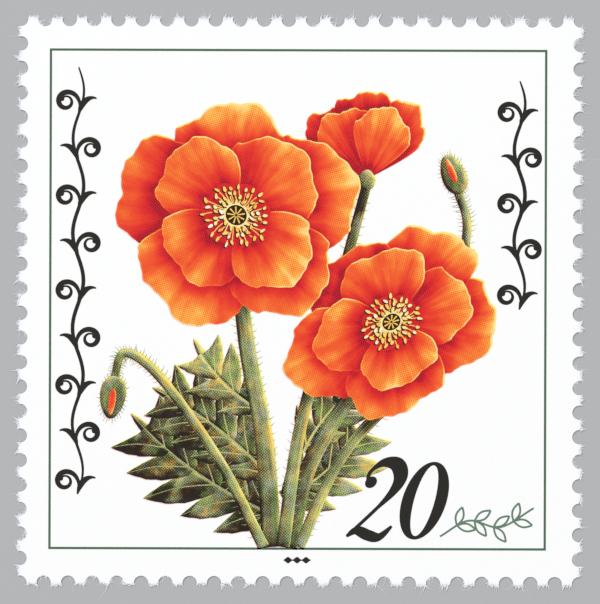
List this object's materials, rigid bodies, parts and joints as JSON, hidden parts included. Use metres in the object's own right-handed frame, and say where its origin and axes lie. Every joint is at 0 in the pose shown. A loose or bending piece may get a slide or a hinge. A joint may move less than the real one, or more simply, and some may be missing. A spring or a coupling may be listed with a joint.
{
  "type": "postage stamp",
  "caption": "Perforated postage stamp with a framed print of red poppies, a plain numeral and scroll ornament, gummed on the back.",
  "frame": {"origin": "middle of the gummed back", "axes": "+Z out of the printed face, +Y towards the top of the print, +X to its right"},
  "size_m": [0.0356, 0.0358, 0.0001],
  "materials": {
    "stamp_paper": "matte",
    "gum": "satin",
    "frame_green_ink": "matte",
    "near_black_ink": "matte",
    "leaf_green_ink": "matte",
    "bud_green_ink": "matte",
    "crimson_ink": "matte",
    "stamen_yellow_ink": "matte",
    "eye_black_ink": "matte",
    "vermilion_ink": "matte",
    "orange_ink": "matte",
    "red_ink": "matte",
    "amber_ink": "matte",
    "dark_red_ink": "matte"
  },
  "bodies": {
    "root": {"gum": "gum", "paper": "stamp_paper", "frame_line": "frame_green_ink", "stems_and_leaves": "leaf_green_ink", "cup_stem": "leaf_green_ink", "bud_stem": "leaf_green_ink", "left_bud": "bud_green_ink", "left_bud_slit": "vermilion_ink", "right_bud": "bud_green_ink", "right_bud_slit": "vermilion_ink", "cup_petal_1": "red_ink", "cup_petal_2": "red_ink", "cup_petal_3": "dark_red_ink", "cup_petal_4": "orange_ink", "cup_petal_5": "vermilion_ink", "cup_base": "bud_green_ink", "right_bloom_petal_1": "vermilion_ink", "right_bloom_petal_2": "orange_ink", "right_bloom_petal_3": "red_ink", "right_bloom_petal_4": "amber_ink", "right_bloom_petal_5": "orange_ink", "right_bloom_petal_6": "red_ink", "right_bloom_petal_7": "vermilion_ink", "right_bloom_petal_8": "orange_ink", "right_bloom_petal_9": "amber_ink", "right_bloom_throat": "crimson_ink", "right_bloom_stamens": "stamen_yellow_ink", "right_bloom_eye": "eye_black_ink", "left_bloom_petal_1": "vermilion_ink", "left_bloom_petal_2": "orange_ink", "left_bloom_petal_3": "red_ink", "left_bloom_petal_4": "amber_ink", "left_bloom_petal_5": "orange_ink", "left_bloom_petal_6": "red_ink", "left_bloom_petal_7": "vermilion_ink", "left_bloom_petal_8": "orange_ink", "left_bloom_petal_9": "amber_ink", "left_bloom_throat": "crimson_ink", "left_bloom_stamens": "stamen_yellow_ink", "left_bloom_eye": "eye_black_ink", "left_scroll": "near_black_ink", "right_scroll": "near_black_ink", "numeral_2": "near_black_ink", "numeral_0": "near_black_ink", "foot_ornament": "near_black_ink", "sprig": "frame_green_ink"}
  },
  "joints": []
}
